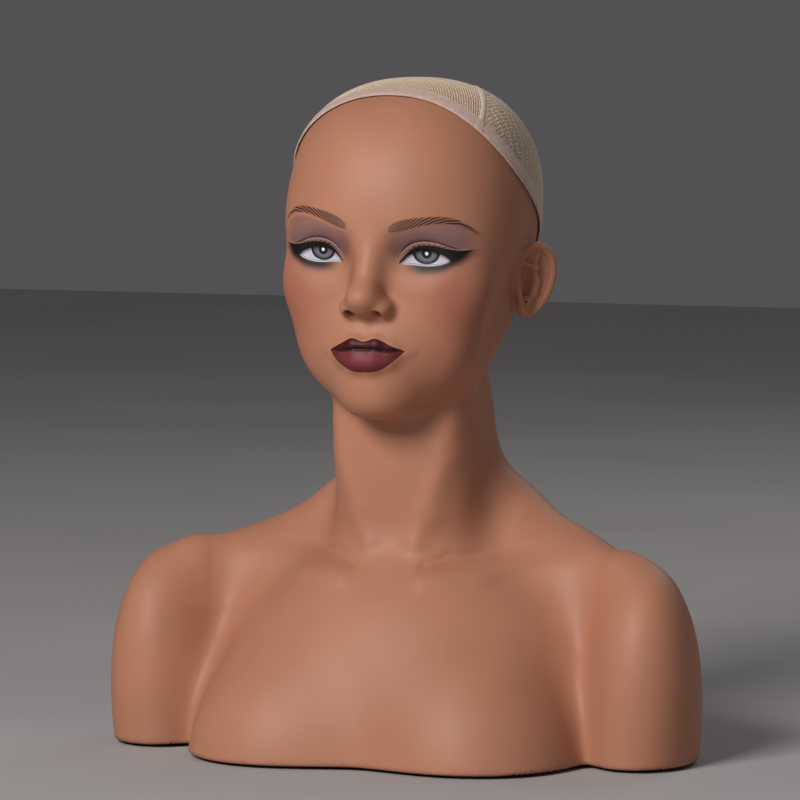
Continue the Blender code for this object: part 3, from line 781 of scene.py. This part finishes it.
def paint_lid(paint, colour, side, above_crease, above_liner, front):
    """The lid between the liner and the crease, with a painted highlight under the crease and the line of
    the crease.
    """
    lid = paint.times(
        paint.rise(above_crease, 0.4, -0.4), paint.rise(above_liner, -0.5, 0.3),
        paint.rise(side, 18, 22), paint.rise(side, 56, 50), front,
    )
    colour = paint.over(paint.times(lid, 0.8), colour, LID)
    # Painted highlight: a light band on the lid just under the crease.
    gleam = paint.times(lid, paint.stroke(above_crease, -1.2, 0.2, 0.5), 0.4)
    colour = paint.over(gleam, colour, LID_PAINTED_HIGHLIGHT)
    fold = paint.times(
        paint.stroke(above_crease, 0.0, 0.28, 0.35), paint.rise(side, 17.5, 21),
        paint.rise(side, 56, 50), front,
    )
    return paint.over(paint.times(fold, 0.92), colour, BROWN_LINE)


def paint_smoke(paint, colour, side, under, front):
    """Soft black under the outer lower lid, with a brown haze round it."""
    smoke = paint.times(
        paint.rise(under, -0.4, 0.4), paint.rise(side, 19, 34), paint.rise(side, 66, 54), front
    )
    haze = paint.times(smoke, paint.rise(under, 9.5, 0.5), 0.7)
    colour = paint.over(haze, colour, SMOKE_HAZE)
    return paint.over(paint.times(smoke, paint.rise(under, 6.4, 1.0), 0.96), colour, SMOKE)


def paint_lashes(paint, colour, side, above_liner, front):
    """Short painted lashes that fan out above the liner."""
    fan = paint.line(side, ((18, -1.6), (34, 0.1), (60, 1.5)))
    uneven = paint.times(paint.math("SINE", paint.times(side, 1.7)), 0.5)
    phase = paint.times(paint.add(paint.less(side, paint.times(above_liner, fan)), uneven), 1 / 1.6)
    lash = paint.math("ABSOLUTE", paint.less(paint.math("FRACT", phase), 0.5))
    lash = paint.times(
        paint.rise(paint.add(lash, paint.times(above_liner, 0.12)), 0.34, 0.2),
        paint.rise(above_liner, -0.3, 0.0), paint.rise(above_liner, 1.8, 1.1),
        paint.rise(side, 20, 25), paint.rise(side, 55, 50), front, 0.8,
    )
    return paint.over(lash, colour, LINER_AND_LID_SHADE)


def paint_eyeball(paint, colour, side, gaze, level, upper, lower, front):
    """The white with painted shade under the upper lid, the iris, the pupil, a painted glint and the lower
    lash line.
    """
    under_lid = paint.less(upper, level)
    opening = paint.times(
        paint.rise(paint.less(level, lower), -0.15, 0.2), paint.rise(under_lid, -0.15, 0.2),
        paint.rise(side, 18.2, 18.8), paint.rise(side, 50.2, 49.6), front,
    )
    # Painted shade: the white darkens towards the upper lid.
    white = paint.over(paint.rise(under_lid, 0.0, 3.4), WHITE_IN_SHADE, WHITE_OF_EYE)
    colour = paint.over(opening, colour, white)
    radius = paint.span(gaze, level, IRIS_MIDDLE, IRIS_RADII)
    in_iris = paint.times(opening, paint.rise(radius, 1.02, 0.97))
    colour = paint.over(in_iris, colour, iris_colour(paint, gaze, level, radius, under_lid))
    pupil = paint.times(opening, paint.spot(gaze, level, (33.9, 315.6), (2.9, 2.7), 0.1))
    colour = paint.over(pupil, colour, PUPIL)
    # Painted glint: a white dot over each pupil.
    glint = paint.times(front, paint.spot(gaze, level, (33.9, 316.0), (1.05, 1.05), 0.25))
    colour = paint.over(glint, colour, PAINTED_GLINT)
    lash = paint.times(
        paint.stroke(paint.less(level, lower), 0.85, 0.12, 0.2), paint.rise(radius, 0.95, 1.05),
        paint.rise(side, 19, 22), paint.rise(side, 50, 48), front, 0.55,
    )
    return paint.over(lash, colour, LINER_AND_LID_SHADE)


def iris_colour(paint, gaze, level, radius, under_lid):
    """Grey with fine streaks, a dark rim and painted shade of the upper lid over its top."""
    angle = paint.math(
        "ARCTAN2", paint.less(level, IRIS_MIDDLE[1]), paint.less(gaze, IRIS_MIDDLE[0])
    )
    streaks = paint.math("SINE", paint.times(angle, 23.0))
    fine = paint.math("SINE", paint.add(paint.times(angle, 41.0), paint.times(radius, 7.0)))
    streaks = paint.add(paint.times(streaks, 0.15), paint.times(fine, 0.12))
    light = paint.times(paint.rise(radius, 0.88, 0.6), paint.rise(radius, 0.25, 0.5))
    light = paint.math("ADD", light, paint.times(streaks, paint.rise(radius, 0.9, 0.7)), clamp=True)
    iris = paint.over(light, IRIS_DARK, IRIS_LIGHT)
    iris = paint.over(paint.rise(radius, 0.78, 0.9), iris, IRIS_RIM)
    # Painted shade of the upper lid, in the liner's black, over the top of the iris.
    return paint.over(paint.times(paint.rise(under_lid, 3.0, 0.2), 0.6), iris, LINER_AND_LID_SHADE)


def paint_brows(paint, colour, side, level, front):
    """A soft wash with slanted hair strokes over it."""
    top, low = paint.line(side, BROW_TOP), paint.line(side, BROW_LOWER)
    ends = paint.times(paint.rise(side, 12.6, 15), paint.rise(side, 65, 61), front)
    inside = paint.times(
        paint.rise(paint.less(level, low), -0.9, 0.9), paint.rise(paint.less(top, level), -0.9, 0.9), ends
    )
    wash = paint.times(inside, paint.rise(side, 12, 24), 0.42)
    colour = paint.over(wash, colour, BROW_WASH)
    slant = paint.line(side, BROW_FLOW)
    sway = paint.times(paint.math("SINE", paint.times(side, 0.9)), 0.16)
    phase = paint.times(paint.add(paint.less(level, slant), sway), 1 / 1.8)
    hair = paint.math("ABSOLUTE", paint.less(paint.math("FRACT", phase), 0.5))
    hair = paint.rise(hair, 0.36, 0.16)
    fringe = paint.times(
        paint.rise(paint.less(level, low), -0.3, 0.5), paint.rise(paint.less(top, level), -0.3, 0.7), ends
    )
    return paint.over(paint.times(hair, fringe, 0.92), colour, BROW_HAIR)


def paint_lips(paint, colour, side, z, front):
    """Dark lips, the lower one lighter with a painted highlight in its middle, a pale edge, and painted
    shade in the parting.
    """
    top, low = paint.line(side, LIP_TOP), paint.line(side, LIP_LOWER)
    parting = paint.line(side, LIP_PARTING)
    ends = paint.times(paint.rise(side, 24.7, 24.2), front)
    inside = paint.times(
        paint.rise(paint.less(z, low), -0.25, 0.25), paint.rise(paint.less(top, z), -0.25, 0.25), ends
    )
    ring = paint.times(
        paint.rise(paint.less(z, low), -1.0, -0.2), paint.rise(paint.less(top, z), -1.0, -0.2), ends
    )
    colour = paint.over(paint.times(ring, 0.45), colour, LIP_EDGE)
    below = paint.less(parting, z)
    # Painted highlight in the middle of the lower lip, over its lighter colour.
    centre = paint.times(
        paint.glow(side, z, (0, 250.6), (11, 3.6)), paint.rise(below, 0.0, 1.5)
    )
    lip = paint.over(centre, LIP_UPPER, LOWER_LIP_AND_HIGHLIGHT)
    lip = paint.over(paint.times(paint.rise(below, -0.4, 0.4), 0.35), lip, LOWER_LIP_AND_HIGHLIGHT)
    # Painted shade along the parting between the lips.
    seam = paint.times(paint.stroke(z, parting, 0.5, 0.8), paint.rise(side, 24, 13))
    lip = paint.over(seam, lip, PARTING_SHADE)
    return paint.over(inside, colour, lip)


# ---- Other materials ----


def thread_material(name, colour, dark, scale):
    """Soft knitted yarn."""
    paint = Paint(name, 0.7, 0.3)
    vector = paint.place()[0]
    tone = paint.rise(paint.noise(vector, scale, 3), 0.3, 0.7)
    paint.put(paint.over(tone, colour, dark), paint.shader.inputs["Base Color"])
    paint.shader.inputs["Sheen Weight"].default_value = 0.25
    paint.shader.inputs["Sheen Roughness"].default_value = 0.4
    paint.bump(paint.noise(vector, 4000, 2), 0.25, 0.0002)
    return paint.material


def elastic_material():
    """A woven elastic."""
    paint = Paint("cap_elastic", 0.72, 0.3)
    vector = paint.place()[0]
    tone = paint.rise(paint.noise(vector, 260, 3), 0.3, 0.7)
    colour = paint.over(tone, srgb(206, 176, 160), srgb(194, 164, 148))
    paint.put(colour, paint.shader.inputs["Base Color"])
    weave = paint.node("TexVoronoi")
    weave.inputs["Scale"].default_value = 1400
    paint.put(vector, weave.inputs["Vector"])
    paint.shader.inputs["Sheen Weight"].default_value = 0.3
    paint.bump(weave.outputs["Distance"], 0.35, 0.0003)
    return paint.material


def plain_material(name, colour, dark, roughness, scale, grain, metallic=0.0):
    """A base colour with slow tone changes and a fine grain."""
    paint = Paint(name, roughness, 0.4)
    vector = paint.place()[0]
    tone = paint.rise(paint.noise(vector, scale, 4), 0.3, 0.7)
    paint.put(paint.over(tone, colour, dark), paint.shader.inputs["Base Color"])
    paint.shader.inputs["Metallic"].default_value = metallic
    paint.bump(paint.noise(vector, scale * 25, 2), grain, 0.0003)
    return paint.material


# ---- The bust ----


def make_skin():
    """The painted shell, on a grid that is fine over the face and coarse elsewhere."""
    lines = (
        graded(-200, (-97, 2.6), (97, 1.25), (200, 2.6)),
        graded(-104, (66, 1.3), (126, 2.6)),
        graded(-6, (232, 2.6), (336, 1.15), (428, 2.6)),
    )
    points, faces = net_surface(shell, lines)
    skin = new_mesh("bust_skin", settle(points, shell), faces, paint_skin())
    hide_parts("bust_shell")
    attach(skin, "bust")


def repaint(frame):
    """Better materials on the CAD nodes that stay."""
    steel, dull_steel = srgb(196, 196, 190), srgb(170, 170, 164)
    looks = {
        "base_plate": plain_material("base_board", srgb(58, 54, 50), srgb(46, 43, 40), 0.62, 60, 0.2),
        "base_foot": plain_material("foot_rubber", srgb(26, 26, 26), srgb(18, 18, 18), 0.8, 90, 0.3),
        "base_screw": plain_material("zinc_steel", steel, dull_steel, 0.34, 120, 0.1, metallic=1.0),
        "base_block": plain_material("block_wood", srgb(196, 160, 112), srgb(170, 132, 88), 0.7, 40, 0.35),
    }
    for name, node in frame["nodes"].items():
        for start, look in looks.items():
            if name.startswith(start):
                node.data.materials.clear()
                node.data.materials.append(look)


# ---- The wig cap ----


def rim_deg(around):
    """The rim's angle from the cap's axis: least at the forehead and behind the ears."""
    return RIM_DEG - RIM_WAVE_DEG * np.cos(3 * around)


def on_cap(polar, around, gap):
    """Form points on the cap. Both angles in radians; around is 0 at the forehead."""
    polar, around = np.broadcast_arrays(np.asarray(polar, float), np.asarray(around, float))
    shape = polar.shape
    polar, around = polar.ravel(), around.ravel()
    ray = (
        np.cos(polar)[:, None] * CAP_AXIS
        + (np.sin(polar) * np.cos(around))[:, None] * CAP_FORWARD
        + (np.sin(polar) * np.sin(around))[:, None] * CAP_RIGHT
    )
    gap = np.broadcast_to(gap, shape).ravel()
    # Each ray's stretch from inside the head to outside the cap, halved until it closes on the surface.
    near, far = np.full(len(ray), 55.0), np.full(len(ray), 125.0)
    for _ in range(22):
        middle = 0.5 * (near + far)
        outside = scalp(list((SKULL_CENTRE + ray * middle[:, None]).T)) > gap
        far = np.where(outside, middle, far)
        near = np.where(outside, near, middle)
    points = SKULL_CENTRE + ray * (0.5 * (near + far))[:, None]
    return points.reshape(*shape, 3)


def disc(u, v):
    """(polar, around) of a point of the cap laid flat, in millimetres from the crown."""
    radius = np.hypot(u, v)
    return 2 * np.arcsin(np.clip(radius / (2 * CAP_RADIUS), 0, 0.999)), np.arctan2(v, u)


def grid_quads(number):
    """The four-sided faces of a grid whose points have these numbers."""
    near, far = number[:-1], number[1:]
    return np.stack([near[:, :-1], far[:, :-1], far[:, 1:], near[:, 1:]], -1).reshape(-1, 4)


def grid_on_disc(pitch_one, pitch_two, turn_deg, side, margin_deg):
    """A slanted grid on one panel of the cap: (polar, around) of its points, and its faces."""
    turn = math.radians(turn_deg)
    reach = 130
    count_one, count_two = int(reach / pitch_one), int(reach / pitch_two)
    one, two = np.meshgrid(
        np.arange(-count_one, count_one + 1) * pitch_one,
        np.arange(-count_two, count_two + 1) * pitch_two,
        indexing="ij",
    )
    u = one * math.cos(turn) - two * math.sin(turn)
    v = one * math.sin(turn) + two * math.cos(turn)
    polar, around = disc(u, v)
    seam = math.radians(SEAM_DEG)
    beyond = side * (v * math.cos(seam) - u * math.sin(seam))
    keep = (polar < np.radians(rim_deg(around) - margin_deg)) & (beyond > -0.01)
    number = np.full(one.shape, -1)
    number[keep] = np.arange(keep.sum())
    quads = grid_quads(number)
    return polar[keep], around[keep], quads[(quads >= 0).all(1)]


def make_net(name, node, side, turn_deg, layers, mat, backing_mat):
    """One panel: a thin stretched backing with layers of knitted threads standing on it."""
    polar, around, faces = grid_on_disc(3.0, 3.0, SEAM_DEG, side, BAND_WIDTH_DEG - 4.0)
    backing = new_mesh(name, on_cap(polar, around, 0.6), faces, backing_mat)
    thicken(backing, 0.25)
    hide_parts(node)
    nets = []
    for number, (pitch_one, pitch_two, thread) in enumerate(layers, 1):
        margin_deg = BAND_WIDTH_DEG - 3.0
        polar, around, faces = grid_on_disc(pitch_one, pitch_two, turn_deg, side, margin_deg)
        net = new_mesh(f"{name}_threads_{number}", on_cap(polar, around, 1.0), faces, mat)
        wire = net.modifiers.new("Threads", "WIREFRAME")
        wire.thickness = thread * MM
        wire.use_even_offset = False
        nets.append(net)
    for piece in (backing, *nets):
        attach(piece, "wig_cap")


def ring_band(name, top_deg, low_deg, rows, gap, mat, thickness):
    """A closed strip round the rim between two angles above it."""
    steps = 240
    around = 2 * math.pi * np.arange(steps) / steps
    share = np.linspace(0, 1, rows)[:, None]
    polar = np.radians(rim_deg(around)[None] - top_deg + (top_deg - low_deg) * share)
    bulge = gap + 0.35 * np.sin(math.pi * share)
    points = on_cap(polar, np.broadcast_to(around, polar.shape), np.broadcast_to(bulge, polar.shape))
    index = np.arange(rows * steps).reshape(rows, steps)
    after = np.roll(index, -1, axis=1)
    faces = np.stack([index[:-1], index[1:], after[1:], after[:-1]], -1).reshape(-1, 4)
    band = new_mesh(name, points.reshape(-1, 3), faces, mat)
    return thicken(band, thickness)


def cord_ring(name, path, radius, mat):
    """A round cord along a closed path of form points."""
    sides = 8
    ahead = np.roll(path, -1, axis=0) - np.roll(path, 1, axis=0)
    ahead /= np.linalg.norm(ahead, axis=1)[:, None]
    out = path - SKULL_CENTRE
    out -= ahead * (out * ahead).sum(1)[:, None]
    out /= np.linalg.norm(out, axis=1)[:, None]
    across = np.cross(ahead, out)
    angles = (2 * math.pi * np.arange(sides) / sides)[None, :, None]
    rings = path[:, None] + radius * (np.cos(angles) * out[:, None] + np.sin(angles) * across[:, None])
    index = np.arange(len(path) * sides).reshape(len(path), sides)
    after = np.roll(index, -1, axis=0)
    faces = np.stack([index, np.roll(index, -1, 1), np.roll(after, -1, 1), after], -1).reshape(-1, 4)
    return new_mesh(name, rings.reshape(-1, 3), faces, mat)


def make_band(mat):
    """The elastic band with a cord along each edge."""
    band = ring_band("cap_band_elastic", BAND_WIDTH_DEG, 0.2, 9, 0.7, mat, 0.9)
    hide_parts("cap_band")
    around = 2 * math.pi * np.arange(360) / 360
    edges = (("cap_piping_upper", BAND_WIDTH_DEG, 0.55), ("cap_piping_lower", 0.1, 0.5))
    pipings = []
    for name, above_deg, radius in edges:
        path = on_cap(np.radians(rim_deg(around) - above_deg), around, 1.25)
        pipings.append(cord_ring(name, path, radius, mat))
    for piece in (band, *pipings):
        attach(piece, "wig_cap")


def seam_strip(name, start_deg, end_deg, width, gap, mat, thickness, ruffle):
    """A tape over the cap along the seam, gathered across its width."""
    seam = math.radians(SEAM_DEG)
    steps = max(6, int(abs(end_deg - start_deg) * 2.5))
    along = np.radians(np.linspace(start_deg, end_deg, steps))
    rows = 7
    offset = np.linspace(-0.5, 0.5, rows) * width
    flat = 2 * CAP_RADIUS * np.sin(np.abs(along) / 2) * np.sign(along)
    u = (flat * math.cos(seam))[:, None] - offset[None] * math.sin(seam)
    v = (flat * math.sin(seam))[:, None] + offset[None] * math.cos(seam)
    polar, around = disc(u, v)
    ripple = ruffle * (0.5 + 0.5 * np.sin(np.arange(steps) * 2.1))[:, None] * np.ones((1, rows))
    crown = 0.3 * np.cos(np.linspace(-0.5, 0.5, rows) * math.pi)[None]
    points = on_cap(polar, around, gap + ripple + crown)
    faces = grid_quads(np.arange(steps * rows).reshape(steps, rows))[:, [0, 3, 2, 1]]
    strip = thicken(new_mesh(name, points.reshape(-1, 3), faces, mat), thickness)
    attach(strip, "wig_cap")
    return strip


def make_cap():
    """Two net panels, the band, the seam tape between the panels and the band's join."""
    threads = thread_material("cap_net_threads", srgb(234, 214, 188), srgb(222, 198, 168), 500)
    backing = thread_material("cap_net", srgb(194, 154, 128), srgb(180, 140, 114), 300)
    elastic = elastic_material()
    make_net("cap_net_left", "cap_net_front", -1, CROSSED_DEG, CROSSED_THREADS, threads, backing)
    make_net("cap_net_right", "cap_net_rear", 1, RIB_DEG, RIBBED_THREADS, threads, backing)
    make_band(elastic)
    limit = math.radians(SEAM_DEG)
    front = float(rim_deg(limit)) - BAND_WIDTH_DEG
    back = float(rim_deg(limit + math.pi)) - BAND_WIDTH_DEG
    tape = seam_strip("cap_seam", front + 0.5, -back - 0.5, 4.4, 0.8, threads, 0.4, 0.25)
    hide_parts("cap_seam_tape")
    join = seam_strip("cap_join", front + 0.5, front + BAND_WIDTH_DEG - 0.5, 9.0, 1.7, elastic, 0.5, 0.25)
    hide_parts("cap_band_join")


# ---- Stage ----


def make_floor():
    bpy.ops.mesh.primitive_plane_add(size=8.0)
    floor = bpy.context.object
    floor.name = "floor"
    floor.data.materials.append(
        plain_material("pale_floor", srgb(182, 178, 177), srgb(176, 172, 171), 0.75, 3, 0.02)
    )


def add_light(name, place, target, size, power):
    data = bpy.data.lights.new(name, "AREA")
    data.size = size
    data.energy = power
    light = bpy.data.objects.new(name, data)
    bpy.context.scene.collection.objects.link(light)
    light.location = place
    light.rotation_euler = (Vector(target) - Vector(place)).to_track_quat("-Z", "Y").to_euler()


def make_lights():
    middle = (0.0, 0.0, 0.25)
    add_light("key", (-0.55, -2.25, 1.6), middle, 1.0, 62)
    add_light("fill", (2.2, -1.2, 0.9), middle, 1.4, 2.5)
    add_light("back", (0.6, 1.7, 1.4), middle, 1.2, 6)
    world = bpy.context.scene.world or bpy.data.worlds.new("World")
    bpy.context.scene.world = world
    world.use_nodes = True
    background = world.node_tree.nodes["Background"]
    background.inputs["Color"].default_value = srgb(200, 196, 200)
    background.inputs["Strength"].default_value = 0.15
    bpy.context.scene.view_settings.view_transform = "Standard"


def make_camera():
    turn = math.radians(CAMERA_AZIMUTH_DEG)
    place = np.array([
        CAMERA_DISTANCE * math.sin(turn), -CAMERA_DISTANCE * math.cos(turn), CAMERA_HEIGHT
    ])
    away = np.linalg.norm(place - CAMERA_TARGET)
    camera = bpy.data.objects.new("camera", bpy.data.cameras.new("camera"))
    bpy.context.scene.collection.objects.link(camera)
    camera.data.sensor_width = 36.0
    camera.data.lens = 36.0 * away / CAMERA_FIELD
    camera.data.shift_x = 1.5 / 800
    camera.location = to_frame(place)
    look = Vector(to_frame(CAMERA_TARGET)) - camera.location
    camera.rotation_euler = look.to_track_quat("-Z", "Y").to_euler()
    bpy.context.scene.camera = camera


def main():
    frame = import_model()
    make_camera()
    repaint(frame)
    make_skin()
    make_cap()
    make_floor()
    make_lights()


main()
